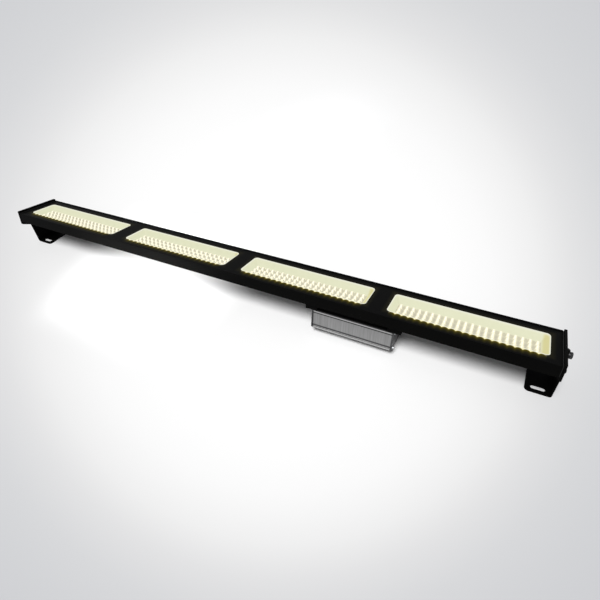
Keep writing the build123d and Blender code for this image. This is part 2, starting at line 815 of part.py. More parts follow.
# Screws through the straps: four up into the ribs, four down into the case
with BuildPart() as strap_screws:
    with BuildSketch(Plane.XY.offset(driver_top)):
        with Locations(*rib_screw_places):
            Circle(strap_screw_head_radius)
    extrude(amount=-strap_screw_head)
    with BuildSketch(Plane.XY.offset(driver_top)):
        with Locations(*rib_screw_places):
            Circle(strap_screw_radius)
    extrude(amount=rib_screw_length)
    with BuildSketch(Plane.XY.offset(fin_tip)):
        with Locations(*case_screw_places):
            Circle(strap_screw_radius)
    extrude(amount=-case_screw_length)
    countersink_depth = strap_screw_head_radius - strap_screw_radius
    with Locations(*[(x, y, fin_tip - countersink_depth) for x, y in case_screw_places]):
        Cone(
            strap_screw_radius,
            strap_screw_head_radius,
            countersink_depth,
            align=(Align.CENTER, Align.CENTER, Align.MIN),
        )
lean_over(strap_screws)
strap_screws.part.label = "strap_screws"
export_step(strap_screws.part, "parts/strap_screws.step")

# Lead bushing from inside the driver case up to the top of the slab
bushing_foot = driver_top - case_wall - bushing_stand
with BuildPart() as lead_bushing:
    with BuildSketch(Plane.XY.offset(bushing_foot)):
        with Locations((bushing_x, 0)):
            Circle(bushing_radius)
    extrude(amount=slab_top - bushing_foot)
    with BuildSketch(Plane.XY.offset(driver_top)):
        with Locations((bushing_x, 0)):
            Circle(bushing_collar)
    extrude(amount=slab_bottom - driver_top)
    with Locations((bushing_x, 0, slab_top)):
        Hole(bushing_bore)
lean_over(lead_bushing)
lead_bushing.part.label = "lead_bushing"
export_step(lead_bushing.part, "parts/lead_bushing.step")

# Wiring harness: from the driver's circuit up the bushing, along the housing, to each board
with BuildPart() as wiring_harness:
    with BuildLine() as riser:
        FilletPolyline(
            (bushing_x, 0, circuit_top),
            (bushing_x, 0, lead_z),
            (bushing_x, lead_y, lead_z),
            radius=lead_bend,
        )
    with BuildSketch(Plane.XY.offset(circuit_top)):
        with Locations((bushing_x, 0)):
            Circle(lead_radius)
    sweep(path=riser.line)
    with BuildSketch(Plane.YZ.offset(window_centres[0] - lead_radius)):
        with Locations((lead_y, lead_z)):
            Circle(lead_radius)
    extrude(amount=window_centres[-1] - window_centres[0] + 2 * lead_radius)
    with BuildSketch(Plane.XZ.offset(-lead_y)):
        with Locations(*[(x, tap_z) for x in window_centres]):
            Circle(tap_radius)
    extrude(amount=lead_y - board_width / 2)
lean_over(wiring_harness)
wiring_harness.part.label = "wiring_harness"
export_step(wiring_harness.part, "parts/wiring_harness.step")

# Driver circuit board
with BuildPart() as driver_circuit:
    with BuildSketch(Plane.XY.offset(circuit_bottom)):
        with Locations((driver_x, 0)):
            Rectangle(circuit_length, circuit_width)
    extrude(amount=circuit_thickness)
lean_over(driver_circuit)
driver_circuit.part.label = "driver_circuit"
export_step(driver_circuit.part, "parts/driver_circuit.step")

# Transformer: a wound middle leg inside a ferrite frame
transformer_x = driver_x + transformer_offset
with BuildPart() as transformer:
    with BuildSketch(Plane.XZ):
        with Locations((transformer_x, circuit_top + core_height / 2)):
            Rectangle(core_length, core_height)
            Rectangle(core_length - 2 * core_leg, core_height - 2 * core_leg, mode=Mode.SUBTRACT)
    extrude(amount=core_width / 2, both=True)
    with BuildSketch(Plane.YZ.offset(transformer_x)):
        with Locations((0, circuit_top + core_height / 2)):
            Rectangle(core_width + 2 * coil_reach, core_height - 2 * core_leg)
    extrude(amount=core_length / 2 - core_leg - coil_play, both=True)
lean_over(transformer)
transformer.part.label = "transformer"
export_step(transformer.part, "parts/transformer.step")

# Capacitors standing in a row across the circuit board
with BuildPart() as capacitors:
    with BuildSketch(Plane.XY.offset(circuit_top)):
        with Locations((circuit_left + capacitor_inset, 0)):
            with GridLocations(capacitor_spacing, capacitor_spacing, 1, 3):
                Circle(capacitor_radius)
    extrude(amount=capacitor_height)
    fillet(edges().group_by(Axis.Z)[-1], radius=capacitor_rim)
lean_over(capacitors)
capacitors.part.label = "capacitors"
export_step(capacitors.part, "parts/capacitors.step")

# Ring choke lying on the circuit board
with BuildPart() as choke:
    with BuildSketch(Plane.XY.offset(circuit_top)):
        with Locations((circuit_right - choke_inset, choke_y)):
            Circle(choke_radius)
            Circle(choke_hole, mode=Mode.SUBTRACT)
    extrude(amount=choke_height)
    fillet(edges().filter_by(GeomType.CIRCLE).group_by(Axis.Z)[-1], radius=choke_rounding)
lean_over(choke)
choke.part.label = "choke"
export_step(choke.part, "parts/choke.step")

# Power transistors, each on its three legs
with BuildPart() as transistors:
    with BuildSketch(Plane.XY.offset(circuit_top + package_stand)):
        with Locations((circuit_right - package_inset, package_y)):
            with GridLocations(package_spacing, package_spacing, 2, 1):
                Rectangle(package_length, package_width)
    extrude(amount=package_height)
    with BuildSketch(Plane.XY.offset(circuit_top)):
        with Locations((circuit_right - package_inset, package_y)):
            with GridLocations(package_spacing, package_spacing, 2, 1):
                with GridLocations(leg_pitch, leg_pitch, 3, 1):
                    Rectangle(leg_thickness, leg_thickness)
    extrude(amount=package_stand)
lean_over(transistors)
transistors.part.label = "transistors"
export_step(transistors.part, "parts/transistors.step")

# Mains gland in the left end cap
cap_face = driver_x - driver_length / 2
with BuildPart() as mains_gland:
    with BuildSketch(Plane.YZ.offset(cap_face)):
        with Locations((gland_y, driver_middle)):
            RegularPolygon(gland_across / 2, side_count=6, major_radius=False)
    extrude(amount=-gland_body)
    with BuildSketch(Plane.YZ.offset(cap_face - gland_body)):
        with Locations((gland_y, driver_middle)):
            Circle(gland_dome_radius)
    with BuildSketch(Plane.YZ.offset(cap_face - gland_body - gland_dome)):
        with Locations((gland_y, driver_middle)):
            Circle(gland_tip_radius)
    loft()
    with BuildSketch(Plane.YZ.offset(cap_face)):
        with Locations((gland_y, driver_middle)):
            Circle(gland_thread_radius)
    extrude(amount=cap_thickness + gland_nut + gland_tail)
    with BuildSketch(Plane.YZ.offset(cap_face + cap_thickness)):
        with Locations((gland_y, driver_middle)):
            RegularPolygon(gland_nut_across / 2, side_count=6, major_radius=False)
    extrude(amount=gland_nut)
    with BuildSketch(Plane.YZ.offset(cap_face - gland_body - gland_dome - overrun)):
        with Locations((gland_y, driver_middle)):
            Circle(gland_bore)
    gland_length = gland_dome + gland_body + cap_thickness + gland_nut + gland_tail
    extrude(amount=gland_length + 2 * overrun, mode=Mode.SUBTRACT)
lean_over(mains_gland)
mains_gland.part.label = "mains_gland"
export_step(mains_gland.part, "parts/mains_gland.step")
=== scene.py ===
# %% [markdown]
# # A linear high bay light
#
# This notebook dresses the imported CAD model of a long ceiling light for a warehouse.
# A black aluminium extrusion carries four lit windows, each with a cream reflector tray
# and three rows of moulded lenses. A silver driver case hangs under it, and a slotted
# bracket at each end tilts on a bolt.
#
# The CAD gives the frame: sizes, places and the two moving brackets. Blender adds what
# the CAD leaves plain, so the lenses, trays and cover are worked out again as smooth
# surfaces, the metalwork gets soft edges, and everything gets a real finish.

import json
import math

import bmesh
import bpy
import numpy as np
from mathutils import Matrix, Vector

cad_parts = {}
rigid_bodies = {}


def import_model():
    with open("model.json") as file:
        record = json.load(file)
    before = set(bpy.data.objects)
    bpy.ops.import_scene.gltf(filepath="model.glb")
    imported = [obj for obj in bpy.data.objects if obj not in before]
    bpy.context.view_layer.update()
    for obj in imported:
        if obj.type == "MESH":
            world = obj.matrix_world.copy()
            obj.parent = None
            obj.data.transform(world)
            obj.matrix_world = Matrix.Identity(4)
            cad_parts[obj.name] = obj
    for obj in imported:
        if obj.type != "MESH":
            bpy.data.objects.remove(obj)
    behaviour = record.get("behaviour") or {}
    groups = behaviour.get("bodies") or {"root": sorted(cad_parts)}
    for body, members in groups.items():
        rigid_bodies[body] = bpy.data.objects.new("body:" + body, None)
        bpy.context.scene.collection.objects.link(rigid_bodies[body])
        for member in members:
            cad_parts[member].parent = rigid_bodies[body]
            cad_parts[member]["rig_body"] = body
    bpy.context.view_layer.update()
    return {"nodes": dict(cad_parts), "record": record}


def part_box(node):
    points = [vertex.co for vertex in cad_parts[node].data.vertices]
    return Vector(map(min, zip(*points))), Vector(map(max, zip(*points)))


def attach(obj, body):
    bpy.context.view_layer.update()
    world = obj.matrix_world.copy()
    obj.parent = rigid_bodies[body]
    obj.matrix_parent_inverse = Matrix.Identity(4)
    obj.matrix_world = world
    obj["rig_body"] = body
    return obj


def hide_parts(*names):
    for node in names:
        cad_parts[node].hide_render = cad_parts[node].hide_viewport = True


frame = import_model()
nodes = frame["nodes"]

# %% [markdown]
# ## Units and colours
#
# The drawing is in millimetres and Blender is in metres. Colours are picked as sRGB hex
# values, which is how a paint chart or a picture names them, while the renderer wants
# linear light. One function each does the change.

# %% Units and colours
per_metre = 1000  # millimetres


def mm(value):
    """Metres from millimetres."""
    return value / per_metre


def colour(hex_value):
    """Linear colour from sRGB hex.

    Each channel c goes to ((c + 0.055) / 1.055) ** 2.4, and the darkest ones to c / 12.92.
    """
    channels = np.array([int(hex_value[i : i + 2], 16) / 255 for i in (1, 3, 5)])
    low = channels / 12.92
    high = ((channels + 0.055) / 1.055) ** 2.4
    return (*np.where(channels <= 0.04045, low, high).tolist(), 1.0)


print("mid grey in linear light:", colour("#808080"))

# %% [markdown]
# ## The body leans
#
# The drawing makes the body level and then leans it over about its two pivots, so that
# the feet stay flat on the floor. The new pieces are worked out level too, in the
# drawing's millimetres, and this function leans their points over.

# %% Lean
pivot = np.array((0.0, 0.0, 74.0))
lean = math.radians(10.5)
lean_turn = np.array((
    (1, 0, 0),
    (0, math.cos(lean), math.sin(lean)),
    (0, -math.sin(lean), math.cos(lean)),
))


def lean_over(points):
    """Points in mm of the level drawing, turned by the lean about the pivots' axis."""
    return (points - pivot) @ lean_turn.T + pivot


in_front = pivot + (0.0, -100.0, 0.0)
print("a point 100 mm in front of the pivots moves to", lean_over(in_front).round(1))

# %% [markdown]
# ## The camera
#
# A camera fitted to the straight edges of the light stands in front of its right half and
# leans over by a few degrees. Its place and three directions, its right, its down and its
# forward, were fitted against the level body, so they are leaned over with it.

# %% The camera
picture_width = 600  # pixels
half_pixel = 0.5 / picture_width  # the fit measured from the middle of the first pixel
fitted_place = np.array((463.94, -688.81, 517.85))
fitted_turn = np.array((
    (0.89678684, 0.44156204, 0.02821935),
    (0.25931341, -0.47283147, -0.84213239),
    (-0.3585107, 0.7625309, -0.538532),
))
right, down, forward = fitted_turn @ lean_turn.T

camera = bpy.data.objects.new("camera", bpy.data.cameras.new("camera"))
bpy.context.scene.collection.objects.link(camera)
turn = np.eye(4)
turn[:3, :3] = np.stack((right, -down, -forward), axis=1)
turn[:3, 3] = mm(lean_over(fitted_place))
camera.matrix_world = Matrix(turn.tolist())
camera.data.sensor_width = 36
camera.data.lens = 27.11
camera.data.shift_x = -half_pixel
camera.data.shift_y = half_pixel
camera.data.clip_start = 0.01
camera.data.clip_end = 100
bpy.context.scene.camera = camera
bpy.context.scene.view_settings.view_transform = "Standard"
print("camera height over the floor:", round(turn[2, 3], 3), "m")

# %% [markdown]
# ## Making a material
#
# A material is a small graph of nodes. One function adds any kind of node, sets its
# values and links its inputs, so that each finish below reads as a short list. An input
# goes by its name or its number: on the node that mixes colours, 6 and 7 are the colours.

# %% A function that adds a node
def add(tree, kind, settings=None, links=None, stops=()):
    """Adds a node of that kind.

    settings: property or input to value. links: input to output. stops: a ramp's places
    and colours.
    """
    node = tree.nodes.new(kind)
    for key, value in (settings or {}).items():
        if isinstance(key, str) and hasattr(node, key):
            setattr(node, key, value)
        else:
            node.inputs[key].default_value = value
    for key, output in (links or {}).items():
        tree.links.new(output, node.inputs[key])
    for place, _ in stops[2:]:
        node.color_ramp.elements.new(place)
    for element, (place, hex_value) in zip(node.color_ramp.elements if stops else (), stops):
        element.position = place
        element.color = colour(hex_value)
    return node


def new_material(name):
    """An empty node material and its tree."""
    material = bpy.data.materials.new(name)
    material.use_nodes = True
    material.node_tree.nodes.clear()
    print("material:", name)
    return material, material.node_tree


def finish_with(tree, surface):
    """Connects a shader's output to the material's surface."""
    add(tree, "ShaderNodeOutputMaterial", links={"Surface": surface})


# %% [markdown]
# A pattern along the body or up its sides has to follow the drawing, not the floor. So a
# material can ask for drawing coordinates: the object's own, in millimetres, turned level
# again about the pivots. The node turns first and shifts after, which fixes the shift.

# %% Drawing coordinates
level_shift = pivot - pivot @ lean_turn


def drawing_coordinates(tree):
    """Level coordinates in mm."""
    where = add(tree, "ShaderNodeTexCoord")
    level = add(
        tree,
        "ShaderNodeMapping",
        {"Scale": (per_metre,) * 3, "Rotation": (lean, 0, 0), "Location": level_shift.tolist()},
        {"Vector": where.outputs["Object"]},
    )
    return level.outputs["Vector"]


print("shift after the turn:", level_shift.round(2), "mm")

# %% [markdown]
# ## The floor and the light
#
# The light stands on a seamless sheet of white paper. The round pool of white from the photographer's
# lamp is painted into the paper's colour: a painted pool of light that fades to pale grey with the
# angle from the middle of the pool, seen from where the picture is taken. The pool is fixed in the
# scene, so it stays where it is from any other side.

# %% Floor
pool_middle = (0.03, -0.022, 0.0)  # a little to the left and up, as tangents of the angles
paper_edge = "#CDCED1"
# Colours of the painted pool of light, from its middle outwards
pool_rings = (
    (0.30, "#FFFFFF"), (0.45, "#F9F9F9"), (0.56, "#EDEDED"), (0.64, "#E0E0E1"),
    (0.74, "#D5D6D8"), (0.90, paper_edge),
)


def floor_material():
    """White paper with a painted pool of light that fades to pale grey, by the distance of (x / z, y /
    z) from the pool's middle.

    x, y and z are a floor point's places to the side, up and in depth from one fixed place.
    """
    material, tree = new_material("studio_paper_with_painted_pool")
    where = add(tree, "ShaderNodeTexCoord")
    back = camera.matrix_world.inverted()
    ray = add(
        tree,
        "ShaderNodeMapping",
        {"Rotation": back.to_euler(), "Location": back.translation},
        {"Vector": where.outputs["Object"]},
    )
    split = add(tree, "ShaderNodeSeparateXYZ", links={"Vector": ray.outputs["Vector"]})
    x, y, z = (split.outputs[axis] for axis in "XYZ")
    across = add(tree, "ShaderNodeMath", {"operation": "DIVIDE"}, {0: x, 1: z})
    along = add(tree, "ShaderNodeMath", {"operation": "DIVIDE"}, {0: y, 1: z})
    flat = add(
        tree,
        "ShaderNodeCombineXYZ",
        links={"X": across.outputs["Value"], "Y": along.outputs["Value"]},
    )
    angle = add(
        tree,
        "ShaderNodeVectorMath",
        {"operation": "DISTANCE", 1: pool_middle},
        {0: flat.outputs["Vector"]},
    )
    shade = add(tree, "ShaderNodeValToRGB", links={"Fac": angle.outputs["Value"]}, stops=pool_rings)
    shade.color_ramp.interpolation = "B_SPLINE"
    paper = add(tree, "ShaderNodeBsdfDiffuse", links={"Color": shade.outputs["Color"]})
    finish_with(tree, paper.outputs["BSDF"])
    return material


reach = 60.0  # metres
floor_mesh = bpy.data.meshes.new("floor")
floor_mesh.from_pydata(
    [(-reach, -reach, 0), (reach, -reach, 0), (reach, reach, 0), (-reach, reach, 0)],
    [],
    [(0, 1, 2, 3)],
)
floor = bpy.data.objects.new("floor", floor_mesh)
bpy.context.scene.collection.objects.link(floor)
floor_mesh.materials.append(floor_material())
print("floor:", 2 * reach, "m square")

# %% [markdown]
# The sky fills in the shadows at a low level. What is seen past the floor, straight or in
# metal and plastic, is the pale grey of the paper's edge.

# %% Sky
sky_level = 0.19
sky = bpy.data.worlds.new("sky")
bpy.context.scene.world = sky
sky.use_nodes = True
tree = sky.node_tree
tree.nodes.clear()
path = add(tree, "ShaderNodeLightPath")
direct = add(
    tree,
    "ShaderNodeMath",
    {"operation": "MAXIMUM"},
    {0: path.outputs["Is Camera Ray"], 1: path.outputs["Is Transmission Ray"]},
)
seen = add(
    tree,
    "ShaderNodeMath",
    {"operation": "MAXIMUM"},
    {0: direct.outputs["Value"], 1: path.outputs["Is Glossy Ray"]},
)
fill = add(tree, "ShaderNodeBackground", {"Color": colour("#FFFFFF"), "Strength": sky_level})
backdrop = add(tree, "ShaderNodeBackground", {"Color": colour(paper_edge), "Strength": 1.0})
both = add(
    tree,
    "ShaderNodeMixShader",
    links={
        0: seen.outputs["Value"],
        1: fill.outputs["Background"],
        2: backdrop.outputs["Background"],
    },
)
add(tree, "ShaderNodeOutputWorld", links={"Surface": both.outputs["Shader"]})
print("sky:", sky_level)

# %% [markdown]
# The key lamp is a wide sun that stands on the viewer's side, so that the shadow slips back
# under the body and is darkest at its lower edge. Sky and sun together light the white paper
# to white and no more. A low strip lamp with a grid stands in front of the left half and
# shines in under the body there, where the picture shows no shadow.

# %% Sun and strip lamp
sun_level = 0.84
sun_tilt = math.radians(30)
sun = bpy.data.lights.new("wide_sun", "SUN")
sun.angle = math.radians(24)
sun.energy = sun_level * math.pi / math.cos(sun_tilt)
sun_holder = bpy.data.objects.new("wide_sun", sun)
sun_holder.rotation_euler = (sun_tilt, 0, 0)
bpy.context.scene.collection.objects.link(sun_holder)

strip = bpy.data.lights.new("low_strip", "AREA")
strip.shape = "RECTANGLE"
strip.size, strip.size_y = 0.30, 0.02
strip.spread = math.radians(14)
strip.energy = 0.6
strip_holder = bpy.data.objects.new("low_strip", strip)
strip_holder.location = (-0.23, -1.0, 0.27)
strip_holder.rotation_euler = (math.radians(77), 0, 0)
bpy.context.scene.collection.objects.link(strip_holder)
print("sun:", round(sun.energy, 2), "tilted", round(math.degrees(sun_tilt)), "degrees to the viewer")

# %% [markdown]
# ## Surfaces from numbers
#
# Most pieces here are rings stacked on each other: a rectangle with rounded corners that
# changes its size and height from ring to ring. Numpy works out all the points of a stack
# at once, and a second function lists the four-sided faces between neighbouring rings.

# %% Rings and their faces
def ring_stack(centre_x, stations, steps=8):
    """Rings of a rounded rectangle, one per station (length, width, radius, height), in mm.

    Each corner's points are its centre plus radius times (cos a, sin a), with a over a
    quarter turn, so a ring runs anticlockwise seen from above.
    """
    length, width, radius, height = np.array(stations, float).T[:, :, None]
    quarter = np.linspace(0, math.pi / 2, steps + 1)
    angle = (np.arange(4)[:, None] * math.pi / 2 + quarter).ravel()
    side_x = np.repeat((1, -1, -1, 1), steps + 1)
    side_y = np.repeat((1, 1, -1, -1), steps + 1)
    x = centre_x + side_x * (length / 2 - radius) + radius * np.cos(angle)
    y = side_y * (width / 2 - radius) + radius * np.sin(angle)
    return np.stack(np.broadcast_arrays(x, y, height), axis=-1)


def ring_faces(rings, count, first=0, closed=False):
    """Quads between neighbouring rings of count points. closed joins the last ring to the first."""
    ring = np.arange(rings if closed else rings - 1)[:, None]
    point = np.arange(count)[None, :]
    after, beside = (ring + 1) % rings, (point + 1) % count
    corners = (
        ring * count + point,
        ring * count + beside,
        after * count + beside,
        after * count + point,
    )
    return first + np.stack(corners, axis=-1).reshape(-1, 4)


print("points in a ring:", ring_stack(0.0, [(10.0, 10.0, 1.0, 0.0)]).shape[1])

# %% [markdown]
# Every piece that isn't built face by face goes through one more function. It puts the
# points into a mesh, shades it smooth but for its sharp edges, and lets it ride on its body.

# %% A function that makes a piece
def make_piece(name, points, faces, sharp_from, body="light"):
    """A piece from points in mm and lists of corners, smooth but for edges over sharp_from degrees."""
    mesh = bpy.data.meshes.new(name)
    mesh.from_pydata(mm(points).tolist(), [], faces)
    mesh.validate()
    mesh.shade_smooth()
    mesh.set_sharp_from_angle(angle=math.radians(sharp_from))
    piece = bpy.data.objects.new(name, mesh)
    bpy.context.scene.collection.objects.link(piece)
    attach(piece, body)
    print(name, len(mesh.polygons), "faces")
    return piece


# %% [markdown]
# ## Sizes that the pieces share
#
# They repeat the drawing's own sizes, so each new surface lands where its solid is. The
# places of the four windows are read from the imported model.

# %% Sizes
window_length, window_width, window_radius = 261.8, 62.5, 7.0
window_pitch = 300.4
floor_length, floor_width, floor_radius = 239.4, 38.0, 2.0
slab_top = 66.0
lens_bottom, lens_top = 68.9, 70.9
cover_bottom, cover_top = 81.9, 83.9

numbers = (1, 2, 3, 4)
plate_boxes = [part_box(f"lens_plate_{n}") for n in numbers]
window_centres = [per_metre * (low.x + high.x) / 2 for low, high in plate_boxes]
print("window centres:", [round(x, 1) for x in window_centres], "mm")

# %% [markdown]
# ## The front cover
#
# On the real light this is a strip of black sheet that slides under the lips of the
# extrusion, with four punched windows. Punching rolls the edge over slightly, and that
# small round catches the light. The rings of each window give the rolled edge, and the
# flat parts between them are filled in as one sheet with four holes.

# %% Rolled edges
def edge_round(length, width, radius, roll, grow):
    """Stations of a vertical edge with both corners rolled over by a quarter circle.

    At turn a the edge has moved out by roll times (1 - cos a) and up by roll times sin a.
    grow is 1 for the edge of a hole, where the ring grows as it rolls on to the face, and
    -1 for an outer edge, where it shrinks.
    """
    turns = np.linspace(0, math.pi / 2, 4)
    out = grow * roll * (1 - np.cos(turns))
    rise = roll * np.sin(turns)
    top = [(length + 2 * o, width + 2 * o, radius + o, cover_top - roll + r) for o, r in zip(out, rise)]
    bottom = [(a, b, c, cover_bottom + cover_top - z) for a, b, c, z in reversed(top)]
    return bottom + top


cover_length, cover_width, cover_radius = 1198.0, 98.7, 1.0
cover_edge = edge_round(cover_length, cover_width, cover_radius, roll=0.4, grow=-1)
window_edge = edge_round(window_length, window_width, window_radius, roll=0.5, grow=1)[::-1]
print("rings round an edge:", len(cover_edge))

# %% Front cover
def fill_flat(bm, height):
    """Fills the open rim at that height in m with flat faces that look away from the sheet."""
    rim = [e for e in bm.edges if e.is_boundary and abs(e.verts[0].co.z - height) < 1e-6]
    filled = bmesh.ops.triangle_fill(bm, use_beauty=True, edges=rim)
    for face in filled["geom"]:
        if isinstance(face, bmesh.types.BMFace):
            face.smooth = False
            if (face.normal.z > 0) != (height > mm(cover_bottom)):
                face.normal_flip()


def sheet_with_windows(name):
    """The cover: rolled rings round the sheet and its windows, filled flat above and below."""
    stacks = [ring_stack(0.0, cover_edge)]
    stacks += [ring_stack(x, window_edge) for x in window_centres]
    rings, count = stacks[0].shape[:2]
    points = np.concatenate([stack.reshape(-1, 3) for stack in stacks])
    faces = [ring_faces(rings, count, number * rings * count) for number in range(len(stacks))]
    bm = bmesh.new()
    corners = [bm.verts.new(p) for p in mm(points).tolist()]
    for quad in np.concatenate(faces).tolist():
        bm.faces.new([corners[i] for i in quad]).smooth = True
    fill_flat(bm, mm(cover_bottom))
    fill_flat(bm, mm(cover_top))
    level = np.array([corner.co for corner in bm.verts]) * per_metre
    for corner, point in zip(bm.verts, mm(lean_over(level)).tolist()):
        corner.co = point
    mesh = bpy.data.meshes.new(name)
    bm.to_mesh(mesh)
    bm.free()
    piece = bpy.data.objects.new(name, mesh)
    bpy.context.scene.collection.objects.link(piece)
    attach(piece, "light")
    print(name, len(mesh.polygons), "faces")
    return piece


window_sheet = sheet_with_windows("window_sheet")
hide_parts("front_cover")

# %% [markdown]
# ## Reflector trays
#
# Each tray is a moulded reflector: a flange that the cover presses on, four walls that
# slope in to the lens plate, and a thin lip that stands in the window and hides the
# cover's cut edge. It is one closed ring of sections, so one stack of rings makes it.
# The two tables give the lip's rounding and the bend of the wall, which a moulding needs.

# %% Section of a tray
flange_length, flange_width, flange_radius = 271.8, 80.3, 4.0
flange_bottom = cover_bottom - 1.6
wall_thickness = 1.4
lip_gap, lip_thickness = 0.25, 0.9
lip_profile = (  # how far in from the lip's outside, and how far over the cover
    (0.0, 0.05), (0.13, 0.27), (0.45, 0.36), (0.77, 0.27), (lip_thickness, 0.0),
)
wall_profile = (  # the share of the way in to the lens plate, and how far over it
    (0.0, 12.0), (0.04, 11.1), (0.12, 10.2), (0.5, 5.5), (0.93, 1.1), (0.985, 0.495),
    (1.0, 0.11), (1.0, 0.0),
)


def inside_window(inset):
    """Length, width and corner radius of the window, made smaller all round by inset."""
    return window_length - 2 * inset, window_width - 2 * inset, window_radius - inset


def tray_stations():
    """The tray's section, once round: flange, lip, inner wall, foot and outer wall.

    A ring of the inner wall is mouth + (foot - mouth) times its share of the way in.
    """
    mouth = inside_window(lip_gap + lip_thickness)
    foot = (floor_length, floor_width, floor_radius)
    lip = [(*inside_window(lip_gap + inset), cover_top + rise) for inset, rise in lip_profile]
    wall = [
        (*(a + (b - a) * share for a, b in zip(mouth, foot)), lens_top + rise)
        for share, rise in wall_profile
    ]
    outer_foot = (
        floor_length + 2 * wall_thickness,
        floor_width + 2 * wall_thickness,
        floor_radius + wall_thickness,
    )
    return [
        (flange_length, flange_width, flange_radius, flange_bottom),
        (flange_length, flange_width, flange_radius, cover_bottom),
        (*inside_window(lip_gap), cover_bottom),
        *lip,
        *wall,
        (*outer_foot, lens_top),
        (*inside_window(-wall_thickness), flange_bottom),
    ]


print("rings round a tray's section:", len(tray_stations()))

# %% [markdown]
# Four posts stand on the extrusion under the flange of each tray and take its screws.

# %% Trays
post_x, post_y, post_radius, post_sides = 110.9, 35.65, 4.0, 16


def posts(centre_x):
    """Four round posts: their centres plus radius times (cos a, sin a), at two heights."""
    angle = np.linspace(0, 2 * math.pi, post_sides, endpoint=False)
    circle = post_radius * np.stack((np.cos(angle), np.sin(angle)), axis=-1)
    places = np.array([(centre_x + x, y) for x in (-post_x, post_x) for y in (-post_y, post_y)])
    flat = places[:, None, None, :] + circle
    heights = np.array((slab_top, flange_bottom))[None, :, None, None]
    shape = (len(places), 2, post_sides)
    parts = np.broadcast_to(flat, (*shape, 2)), np.broadcast_to(heights, (*shape, 1))
    return np.concatenate(parts, axis=-1)


def tray(number, centre_x):
    """The closed ring of sections and its four posts."""
    shell = ring_stack(centre_x, tray_stations(), steps=10)
    legs = posts(centre_x)
    rings, count = shell.shape[:2]
    faces = ring_faces(rings, count, closed=True).tolist()
    for leg in range(len(legs)):
        first = rings * count + leg * 2 * post_sides
        faces += ring_faces(2, post_sides, first).tolist()
        faces.append(list(range(first + post_sides - 1, first - 1, -1)))
        faces.append(list(range(first + post_sides, first + 2 * post_sides)))
    points = np.concatenate((shell.reshape(-1, 3), legs.reshape(-1, 3)))
    piece = make_piece(f"tray_{number}", lean_over(points), faces, sharp_from=50)
    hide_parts(f"reflector_{number}")
    return piece


trays = [tray(number, x) for number, x in zip(numbers, window_centres)]

# %% [markdown]
# ## Lens plates
#
# A lens plate is one clear moulding with 63 domes, one over each chip. Every dome is the
# same turned profile, so one profile is swept round a circle and copied to all the
# centres in a single sum of arrays. Each dome keeps to a few dozen faces, because there
# are 252 of them, and smooth shading does the rest.

# %% Domes
dome_columns, dome_rows = 21, 3
dome_pitch_x, dome_pitch_y = 11.4, 12.0
dome_radius, dome_base = 4.2, 1.2
dome_sink, dome_fillet = 0.3, 0.35
dome_segments = 12
dome_turns = np.radians((0, 24, 48, 70))  # up the ball, which the tip closes


def dome_profile():
    """Radius and height from the foot in the plate: a fillet, then r cos t and base + r sin t."""
    foot_radius = (dome_radius + dome_fillet, dome_radius)
    radius = np.concatenate((foot_radius, dome_radius * np.cos(dome_turns)))
    foot_height = (-dome_sink, dome_fillet)
    height = np.concatenate((foot_height, dome_base + dome_radius * np.sin(dome_turns)))
    return radius, lens_top + height


def domes(centre_x):
    """Points of every dome: its centre plus the profile's radius times (cos a, sin a)."""
    radius, height = dome_profile()
    angle = np.linspace(0, 2 * math.pi, dome_segments, endpoint=False)
    x = radius[:, None] * np.cos(angle)
    y = radius[:, None] * np.sin(angle)
    z = np.broadcast_to(height[:, None], x.shape)
    one = np.stack((x, y, z), axis=-1).reshape(-1, 3)
    ends = np.array(((0, 0, height[0]), (0, 0, lens_top + dome_base + dome_radius)))
    one = np.concatenate((one, ends))
    columns = (np.arange(dome_columns) - (dome_columns - 1) / 2) * dome_pitch_x
    rows = (np.arange(dome_rows) - (dome_rows - 1) / 2) * dome_pitch_y
    across, along = np.meshgrid(rows, columns)
    centres = np.stack((centre_x + along, across, 0 * along), axis=-1).reshape(-1, 1, 3)
    return centres + one


def dome_faces(rings, first):
    """Quads round the dome, then a fan of triangles at its foot and at its tip."""
    around = ring_faces(rings, dome_segments, first).tolist()
    point = np.arange(dome_segments)
    beside = (point + 1) % dome_segments
    foot = first + rings * dome_segments
    tip = foot + 1
    last = foot - dome_segments
    under = np.stack((0 * point + foot, first + beside, first + point), axis=-1)
    over = np.stack((last + point, last + beside, 0 * point + tip), axis=-1)
    return around + under.tolist() + over.tolist()


dome_rings = len(dome_profile()[0])
print("faces in a dome:", len(dome_faces(dome_rings, 0)))

# %% Lens plates
plate_length, plate_width, plate_radius, plate_edge = 250.0, 49.0, 4.0, 0.3


def plate_ring(inset, height):
    """A station of the plate, smaller all round by inset."""
    return plate_length - 2 * inset, plate_width - 2 * inset, plate_radius - inset, height


def lens_plate(number, centre_x):
    """The flat plate with a softened rim, closed above and below, and its domes."""
    plate = ring_stack(centre_x, [
        plate_ring(plate_edge, lens_bottom),
        plate_ring(0.0, lens_bottom + plate_edge),
        plate_ring(0.0, lens_top - plate_edge),
        plate_ring(plate_edge, lens_top),
    ])
    rings, count = plate.shape[:2]
    faces = ring_faces(rings, count).tolist()
    faces.append(list(range(count - 1, -1, -1)))
    faces.append(list(range((rings - 1) * count, rings * count)))
    bumps = domes(centre_x)
    each = bumps.shape[1]
    for bump in range(len(bumps)):
        faces += dome_faces(dome_rings, rings * count + bump * each)
    points = np.concatenate((plate.reshape(-1, 3), bumps.reshape(-1, 3)))
    piece = make_piece(f"lenses_{number}", lean_over(points), faces, sharp_from=60)
    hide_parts(f"lens_plate_{number}")
    return piece


lens_plates = [lens_plate(number, x) for number, x in zip(numbers, window_centres)]

